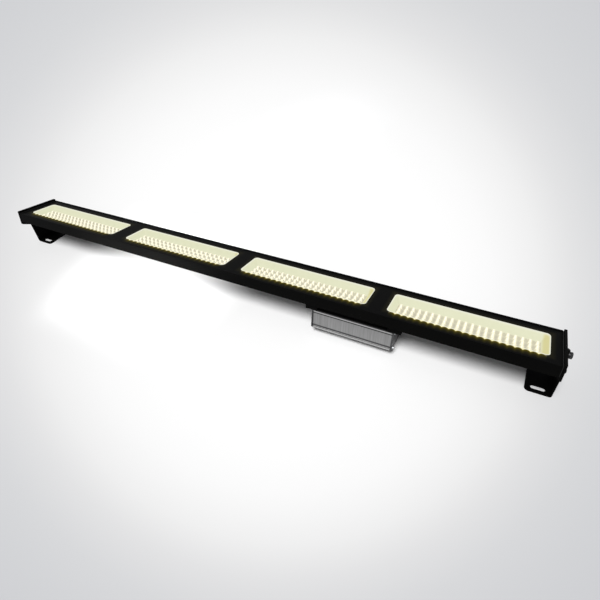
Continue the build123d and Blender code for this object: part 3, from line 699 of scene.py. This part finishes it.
# %% [markdown]
# ## Metalwork with soft edges
#
# Sawn, punched and coated metal never has a knife edge. A copy of each outer CAD part is
# merged into one skin and gets a small bevel, which makes thin highlights along its edges.
# The copy stands for the CAD part, whose own mesh stays as it is.

# %% Softened copies
slots = {part["node"]: part["material_slot"] for part in frame["record"]["subparts"]}
weld_distance = 0.004  # mm
flat_to = 0.5  # degrees between neighbours that become one face
sharp_over = 30  # degrees
soft_widths = {  # mm
    "housing": 0.25,
    "driver_case": 0.25,
    "driver_cap_left": 0.3,
    "driver_cap_right": 0.3,
    "driver_strap_left": 0.3,
    "driver_strap_right": 0.3,
    "end_plate_left": 0.5,
    "end_plate_right": 0.5,
    "bracket_left": 0.3,
    "bracket_right": 0.3,
    "pivot_washer_left": 0.25,
    "pivot_washer_right": 0.25,
    "pivot_bolt_left": 0.3,
    "pivot_bolt_right": 0.3,
}


def softened(node, width):
    """A merged copy of a CAD node with its sharp edges rounded by width mm."""
    source = nodes[node]
    bm = bmesh.new()
    bm.from_mesh(source.data)
    bmesh.ops.remove_doubles(bm, verts=bm.verts, dist=mm(weld_distance))
    bmesh.ops.dissolve_limit(bm, angle_limit=math.radians(flat_to), verts=bm.verts, edges=bm.edges)
    points = np.array([v.co for v in bm.verts]) * per_metre
    faces = [[v.index for v in face.verts] for face in bm.faces]
    bm.free()
    piece = make_piece("soft_" + node, points, faces, sharp_over, source["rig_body"])
    bevel = piece.modifiers.new("edges", "BEVEL")
    bevel.width = mm(width)
    bevel.segments = 2
    bevel.limit_method = "ANGLE"
    bevel.angle_limit = math.radians(sharp_over)
    bevel.harden_normals = True
    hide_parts(node)
    return piece


soft = {node: softened(node, width) for node, width in soft_widths.items()}

# %% [markdown]
# ## Finishes
#
# Each finish starts from what the real one is and how its surface was made. Some of them
# follow the windows, so the first helpers say where in its window a point is, and how far
# it is from a column of domes.

# %% Places in a window
def window_places(tree):
    """Level x from the middle of its window, y and z, in mm."""
    split = add(tree, "ShaderNodeSeparateXYZ", links={"Vector": drawing_coordinates(tree)})
    half = window_pitch / 2
    moved = add(tree, "ShaderNodeMath", {"operation": "SUBTRACT", 1: half}, {0: split.outputs["X"]})
    local = add(
        tree,
        "ShaderNodeMath",
        {"operation": "WRAP", 1: half, 2: -half},
        {0: moved.outputs["Value"]},
    )
    return local.outputs["Value"], split.outputs["Y"], split.outputs["Z"]


def off_column(tree, local):
    """|sin(pi x / pitch)|, which is 0 on a column of domes and 1 half way to the next."""
    turns = add(
        tree,
        "ShaderNodeMath",
        {"operation": "MULTIPLY", 1: math.pi / dome_pitch_x},
        {0: local},
    )
    swing = add(tree, "ShaderNodeMath", {"operation": "SINE"}, {0: turns.outputs["Value"]})
    off = add(tree, "ShaderNodeMath", {"operation": "ABSOLUTE"}, {0: swing.outputs["Value"]})
    return off.outputs["Value"]


print("columns of domes:", dome_columns, "in each of", len(window_centres), "windows")

# %% [markdown]
# The cover's glow from its own windows is painted light, drawn as emission in the coat. Each column of
# domes puts a painted bright cusp over the near edge of its window, and a painted olive glow fades out
# over the next few millimetres.

# %% Glow over the near edge
cusp_depth = 4.0  # mm
glow_from, glow_to = -1.0, 16.0  # mm past the cusps
glow_stops = (
    (0.03, "#FFF6C4"), (0.1, "#80721C"), (0.17, "#564C0C"), (0.35, "#352F08"),
    (0.62, "#1A1704"), (1.0, "#000000"),
)


def near_glow(tree, y, off):
    """Painted glow in cream, olive and then black, by the distance past the near edge plus depth times
    off.
    """
    past = add(
        tree,
        "ShaderNodeMath",
        {"operation": "SUBTRACT", 0: -window_width / 2 - cusp_depth},
        {1: y},
    )
    scallop = add(
        tree,
        "ShaderNodeMath",
        {"operation": "MULTIPLY_ADD", 1: cusp_depth},
        {0: off, 2: past.outputs["Value"]},
    )
    share = add(
        tree,
        "ShaderNodeMapRange",
        {"From Min": glow_from, "From Max": glow_to},
        {"Value": scallop.outputs["Value"]},
    )
    shade = add(tree, "ShaderNodeValToRGB", links={"Fac": share.outputs["Result"]}, stops=glow_stops)
    return shade.outputs["Color"]


print("the glow fades out over", glow_to - glow_from, "mm")

# %% [markdown]
# A much fainter painted glow follows all four sides of a window. Beside the domes, on the near side,
# the strong painted glow takes its place.

# %% Glow round the windows
rim_width = 9.0  # mm
rim_glow_stops = ((0.0, "#1C1A0C"), (1.0, "#000000"))
glow_ends = 119.0, 126.0  # mm from the middle of the window, where the strong glow ends


def faint_painted_glow(tree, aside, y):
    """A faint warm painted glow, by how far the larger of |x| and |y| is outside the window."""
    across = add(tree, "ShaderNodeMath", {"operation": "ABSOLUTE"}, {0: y})
    out_x = add(tree, "ShaderNodeMath", {"operation": "SUBTRACT", 1: window_length / 2}, {0: aside})
    out_y = add(
        tree,
        "ShaderNodeMath",
        {"operation": "SUBTRACT", 1: window_width / 2},
        {0: across.outputs["Value"]},
    )
    out = add(
        tree,
        "ShaderNodeMath",
        {"operation": "MAXIMUM"},
        {0: out_x.outputs["Value"], 1: out_y.outputs["Value"]},
    )
    faint = add(
        tree,
        "ShaderNodeMapRange",
        {"From Min": 0.0, "From Max": rim_width},
        {"Value": out.outputs["Value"]},
    )
    rim = add(tree, "ShaderNodeValToRGB", links={"Fac": faint.outputs["Result"]}, stops=rim_glow_stops)
    return rim.outputs["Color"]


def window_glow(tree):
    """The strong painted glow beside the domes on the near side, and the faint painted glow elsewhere.
    """
    local, y, _ = window_places(tree)
    strong = near_glow(tree, y, off_column(tree, local))
    aside = add(tree, "ShaderNodeMath", {"operation": "ABSOLUTE"}, {0: local})
    beside = add(
        tree,
        "ShaderNodeMapRange",
        {"From Min": glow_ends[0], "From Max": glow_ends[1], "To Min": 1.0, "To Max": 0.0},
        {"Value": aside.outputs["Value"]},
    )
    near = add(tree, "ShaderNodeMath", {"operation": "LESS_THAN", 1: 0.0}, {0: y})
    mask = add(
        tree,
        "ShaderNodeMath",
        {"operation": "MULTIPLY"},
        {0: beside.outputs["Result"], 1: near.outputs["Value"]},
    )
    glow = add(
        tree,
        "ShaderNodeMix",
        {"data_type": "RGBA"},
        {0: mask.outputs["Value"], 6: faint_painted_glow(tree, aside.outputs["Value"], y), 7: strong},
    )
    return glow.outputs[2]


print("the rim fades out over", rim_width, "mm")

# %% [markdown]
# The housing, the cover and all the sheet parts are powder coated: black powder is melted
# to an even skin with a very fine grain. It gives the eye a deep black with hardly any
# sheen. A plain dark colour would look like paper, so two slow clouds change the tint and
# the roughness a little, and the grain is in the bump.

# %% Black powder coat
powder_grain, powder_cloud = 0.35, 60  # mm


def black_coat(name, glow=None):
    """Satin black powder coat: near black, a soft sheen, and the fine grain of melted powder."""
    material, tree = new_material(name)
    where = drawing_coordinates(tree)
    grain = add(
        tree,
        "ShaderNodeTexNoise",
        {"Scale": 1 / powder_grain, "Detail": 2.0},
        {"Vector": where},
    )
    bump = add(
        tree,
        "ShaderNodeBump",
        {"Strength": 0.12, "Distance": mm(0.05)},
        {"Height": grain.outputs["Fac"]},
    )
    cloud = add(
        tree,
        "ShaderNodeTexNoise",
        {"Scale": 1 / powder_cloud, "Detail": 3.0},
        {"Vector": where},
    )
    tint = add(
        tree,
        "ShaderNodeMix",
        {"data_type": "RGBA", 6: colour("#020202"), 7: colour("#070706")},
        {0: cloud.outputs["Fac"]},
    )
    rough = add(
        tree,
        "ShaderNodeMapRange",
        {"To Min": 0.42, "To Max": 0.55},
        {"Value": cloud.outputs["Fac"]},
    )
    coat = add(
        tree,
        "ShaderNodeBsdfPrincipled",
        {"Specular IOR Level": 0.03},
        {
            "Base Color": tint.outputs[2],
            "Roughness": rough.outputs["Result"],
            "Normal": bump.outputs["Normal"],
        },
    )
    # Where a glow is given, it is painted light: the lenses' glow as emission on the coat
    if glow:
        coat.inputs["Emission Strength"].default_value = 1.0
        tree.links.new(glow(tree), coat.inputs["Emission Color"])
    finish_with(tree, coat.outputs["BSDF"])
    return material


coat = black_coat("black_powder_coat")
coat_sheet = black_coat("black_powder_coat_sheet")
coat_with_painted_glow = black_coat("black_powder_coat_with_painted_glow", window_glow)

# %% [markdown]
# The trays are moulded in a white plastic with a satin surface, and their own lenses light them.
# Tracing that light from 252 small chips would be slow and noisy, so the light is painted: the plastic
# glows in the cream that it gives the eye. The painted glow turns yellow on the wall at the far end,
# where the edge of the beams falls, and is brightest on the thin lip in the window.

# %% Reflector
end_wall = 119.0, 123.0  # mm from the middle of the window
lip_foot = cover_bottom - 1.0


def reflector_white():
    """Moulded reflector with painted light: a glow in two creams in slow clouds, yellower at its far
    end wall and brightest on its lip.
    """
    material, tree = new_material("reflector_painted_glow")
    local, _, z = window_places(tree)
    where = drawing_coordinates(tree)
    grain = add(tree, "ShaderNodeTexNoise", {"Scale": 1 / 9, "Detail": 3.0}, {"Vector": where})
    cream = add(
        tree,
        "ShaderNodeMix",
        {"data_type": "RGBA", 6: colour("#D8D9B8"), 7: colour("#E0E1C2")},
        {0: grain.outputs["Fac"]},
    )
    # Painted light: the glow turns yellow on the far end wall
    end = add(
        tree,
        "ShaderNodeMapRange",
        {"From Min": end_wall[0], "From Max": end_wall[1]},
        {"Value": local},
    )
    yellow_end_glow = add(
        tree,
        "ShaderNodeMix",
        {"data_type": "RGBA", 7: colour("#D2CC94")},
        {0: end.outputs["Result"], 6: cream.outputs[2]},
    )
    # Painted light: the glow is brightest up the lip
    high = add(
        tree,
        "ShaderNodeMapRange",
        {"From Min": lip_foot, "From Max": cover_top},
        {"Value": z},
    )
    lip = add(
        tree,
        "ShaderNodeMix",
        {"data_type": "RGBA", 7: colour("#E8E8D8")},
        {0: high.outputs["Result"], 6: yellow_end_glow.outputs[2]},
    )
    plastic = add(
        tree,
        "ShaderNodeBsdfPrincipled",
        {
            "Base Color": colour("#2C2C26"),
            "Roughness": 0.5,
            "Specular IOR Level": 0.15,
            "Emission Strength": 1.0,
        },
        {"Emission Color": lip.outputs[2]},
    )
    finish_with(tree, plastic.outputs["BSDF"])
    return material


tray_painted_glow = reflector_white()

# %% [markdown]
# The lens plates are clear polycarbonate over warm white chips. Like the trays they glow by
# themselves, in the pattern that the chips make: the columns of domes shine white, the
# plate between them is a warm grey, and its near edge is one bright band. The gloss on the
# domes still comes from the shader, with the refractive index of polycarbonate.

# %% Lenses
row_swing = 0.09  # how much brighter a dome is than the gap to the next in its column
near_band = -12.0, -16.5  # mm
lens_stops = ((0.0, "#FFFCEA"), (0.5, "#FFF8D8"), (0.74, "#D2CDB2"), (1.0, "#BFBAA2"))


def lit_lens():
    """Clear moulded polycarbonate, lit: white on a dome and a warm grey between the columns.

    The colour goes by |sin(pi x / pitch)| plus the swing times cos(2 pi y / pitch).
    """
    material, tree = new_material("lit_polycarbonate")
    local, y, _ = window_places(tree)
    off = off_column(tree, local)
    turn_per_row = 2 * math.pi / dome_pitch_y
    turns = add(tree, "ShaderNodeMath", {"operation": "MULTIPLY", 1: turn_per_row}, {0: y})
    rows = add(tree, "ShaderNodeMath", {"operation": "COSINE"}, {0: turns.outputs["Value"]})
    bead = add(
        tree,
        "ShaderNodeMath",
        {"operation": "MULTIPLY_ADD", 1: row_swing},
        {0: rows.outputs["Value"], 2: off},
    )
    streak = add(tree, "ShaderNodeValToRGB", links={"Fac": bead.outputs["Value"]}, stops=lens_stops)
    band = add(
        tree,
        "ShaderNodeMapRange",
        {"From Min": near_band[0], "From Max": near_band[1]},
        {"Value": y},
    )
    shine = add(
        tree,
        "ShaderNodeMix",
        {"data_type": "RGBA", 7: colour("#FFF6CE")},
        {0: band.outputs["Result"], 6: streak.outputs["Color"]},
    )
    lens = add(
        tree,
        "ShaderNodeBsdfPrincipled",
        {"Base Color": colour("#303030"), "Roughness": 0.2, "IOR": 1.58, "Emission Strength": 0.95},
        {"Emission Color": shine.outputs[2]},
    )
    finish_with(tree, lens.outputs["BSDF"])
    return material


lens_lit = lit_lens()

# %% [markdown]
# The driver's case is a clear anodised extrusion. Its face is brushed, and along its upper and lower
# edge runs a lip between grooves. The grooves are finer than a pixel of the picture, so the metal's
# colour changes with height to show them: painted shade in the grooves and along the top and bottom
# edge, and a painted highlight on each lip. The brush strokes are finer still, and are drawn 1.2 mm
# wide so that they show at all.

# %% Driver case
case_bottom, case_top = 7.5, 48.0  # mm, of the level drawing
case_middle, case_half, seam_width = 262.5, 75.8, 0.6
stroke_width, stroke_height = 1.2, 60
# Grey of the metal by height up the case: painted shade in the grooves and at the top and bottom edge,
# painted highlights on the two lips
case_grey_with_painted_light = (
    (0.0, "#1E1E1E"), (0.03, "#B4B4B4"), (0.09, "#A8A8A8"), (0.11, "#484848"),
    (0.18, "#484848"), (0.2, "#8C8C8C"), (0.79, "#868686"), (0.81, "#2A2A2A"),
    (0.85, "#2A2A2A"), (0.87, "#B8B8B8"), (0.93, "#B8B8B8"), (0.96, "#303030"),
)


def brushed_strokes(tree, where):
    """A change of brightness from 0.82 to 1.14 in strokes that run up the face."""
    stretched = add(
        tree,
        "ShaderNodeMapping",
        {"Scale": (1 / stroke_width, 1 / stroke_width, 1 / stroke_height)},
        {"Vector": where},
    )
    brush = add(
        tree,
        "ShaderNodeTexNoise",
        {"Scale": 1.0, "Detail": 3.0},
        {"Vector": stretched.outputs["Vector"]},
    )
    strokes = add(
        tree,
        "ShaderNodeMapRange",
        {"From Min": 0.3, "From Max": 0.7, "To Min": 0.82, "To Max": 1.14},
        {"Value": brush.outputs["Fac"]},
    )
    return strokes.outputs["Result"]


def end_seams(tree, x):
    """1 on the case and a dark 0.25 at its two ends, where it meets its caps."""
    aside = add(tree, "ShaderNodeMath", {"operation": "SUBTRACT", 1: case_middle}, {0: x})
    far = add(tree, "ShaderNodeMath", {"operation": "ABSOLUTE"}, {0: aside.outputs["Value"]})
    seam = add(
        tree,
        "ShaderNodeMapRange",
        {"From Min": case_half, "From Max": case_half + seam_width, "To Min": 1.0, "To Max": 0.25},
        {"Value": far.outputs["Value"]},
    )
    return seam.outputs["Result"]


def anodised_case():
    """Clear anodised extrusion, brushed up its sides, with a painted highlight on each lip and painted
    shade in the grooves.
    """
    material, tree = new_material("clear_anodised_aluminium")
    where = drawing_coordinates(tree)
    split = add(tree, "ShaderNodeSeparateXYZ", links={"Vector": where})
    height = add(
        tree,
        "ShaderNodeMapRange",
        {"From Min": case_bottom, "From Max": case_top},
        {"Value": split.outputs["Z"]},
    )
    level = add(tree, "ShaderNodeValToRGB", links={"Fac": height.outputs["Result"]}, stops=case_grey_with_painted_light)
    shade = add(
        tree,
        "ShaderNodeMath",
        {"operation": "MULTIPLY"},
        {0: brushed_strokes(tree, where), 1: end_seams(tree, split.outputs["X"])},
    )
    metal = add(
        tree,
        "ShaderNodeVectorMath",
        {"operation": "SCALE"},
        {0: level.outputs["Color"], "Scale": shade.outputs["Value"]},
    )
    shader = add(
        tree,
        "ShaderNodeBsdfPrincipled",
        {"Roughness": 0.42, "Metallic": 0.6},
        {"Base Color": metal.outputs["Vector"]},
    )
    finish_with(tree, shader.outputs["BSDF"])
    return material


case_metal = anodised_case()

# %% [markdown]
# The other finishes are even ones. What tells them apart is their colour, how sharply they
# reflect, whether they are metal, and the size of their grain, so one function makes them
# all. No real surface is one flat colour, so each drifts between two close ones.

# %% Plain finishes
def plain_finish(name, dark, light, roughness, metallic=0.0, grain=2.0):
    """A finish with a soft change of colour and a fine bump, both of grain mm."""
    material, tree = new_material(name)
    where = add(tree, "ShaderNodeTexCoord")
    noise = add(
        tree,
        "ShaderNodeTexNoise",
        {"Scale": 1 / mm(grain), "Detail": 3.0},
        {"Vector": where.outputs["Object"]},
    )
    tint = add(
        tree,
        "ShaderNodeMix",
        {"data_type": "RGBA", 6: colour(dark), 7: colour(light)},
        {0: noise.outputs["Fac"]},
    )
    bump = add(
        tree,
        "ShaderNodeBump",
        {"Strength": 0.2, "Distance": mm(0.02)},
        {"Height": noise.outputs["Fac"]},
    )
    shader = add(
        tree,
        "ShaderNodeBsdfPrincipled",
        {"Roughness": roughness, "Metallic": metallic},
        {"Base Color": tint.outputs[2], "Normal": bump.outputs["Normal"]},
    )
    finish_with(tree, shader.outputs["BSDF"])
    return material


finishes = {
    # Melted black powder: deep black, hardly any sheen
    "black_coat": coat,
    "black_sheet": coat_sheet,
    # Zinc plate, blackened or bright: small sharp glints on bolts and screws
    "black_steel": plain_finish("black_zinc_steel", "#08080A", "#121214", 0.32, 0.5, 1.5),
    "zinc_steel": plain_finish("bright_zinc_steel", "#A9ABAD", "#C2C4C6", 0.3, 1.0, 1.5),
    # Moulded: cream walls with a painted glow, and white domes lit from within
    "reflector_white": tray_painted_glow,
    "lens_clear": lens_lit,
    # Cast silicone and foam: soft, with no glints
    "seal_silicone": plain_finish("silicone_seal", "#B4B4AC", "#C4C4BC", 0.6),
    "pad_grey": plain_finish("filled_silicone_pad", "#6E7074", "#7E8084", 0.7),
    "gasket_black": plain_finish("foam_rubber", "#0C0C0C", "#161616", 0.85, grain=0.6),
    "lead_jacket": plain_finish("silicone_jacket", "#C8C8C2", "#D4D4CE", 0.5),
    # Screen printed lacquer on boards: smooth and slightly glossy
    "led_board_white": plain_finish("white_solder_mask", "#E2E2DC", "#ECECE6", 0.35),
    "circuit_green": plain_finish("green_solder_mask", "#0E3A1E", "#165030", 0.35),
    # Phosphor in clear resin: matt egg yellow
    "led_phosphor": plain_finish("yellow_phosphor", "#E8C860", "#F4DC84", 0.5),
    # Brushed silver anodised aluminium on the case, and an even dark grey satin finish on its caps
    "clear_anodised": case_metal,
    "cap_metal": plain_finish("dark_grey_cap_sheet", "#2C2C2D", "#3E3E40", 0.45),
    # Moulded nylon: black with a dull sheen
    "black_nylon": plain_finish("black_nylon", "#101010", "#181818", 0.55),
    # What is wound, sleeved or moulded on the driver's circuit
    "ferrite": plain_finish("ferrite_and_tape", "#1E1E20", "#2C2C30", 0.55),
    "capacitor_sleeve": plain_finish("shrunk_sleeve", "#0C1024", "#161C38", 0.4),
    "enamelled_wire": plain_finish("enamelled_copper", "#7A3A14", "#9C5220", 0.35, 0.8),
    "epoxy_black": plain_finish("moulded_epoxy", "#0E0E0E", "#181818", 0.6),
}

# %% [markdown]
# ## Every part gets its finish
#
# The record names a finish slot for each part, so a table from slot to material reaches them all. The
# new pieces come after, and the cover gets the coat with the painted glow from the lenses.

# %% Assign the finishes
def paint(piece, material):
    """The piece's only material."""
    piece.data.materials.clear()
    piece.data.materials.append(material)


for node, piece in [*nodes.items(), *soft.items()]:
    paint(piece, finishes[slots[node]])
for piece in trays:
    paint(piece, tray_painted_glow)
for piece in lens_plates:
    paint(piece, lens_lit)
paint(window_sheet, coat_with_painted_glow)
print("painted:", len(nodes), "CAD nodes and", len(soft) + len(trays) + len(lens_plates) + 1, "pieces")
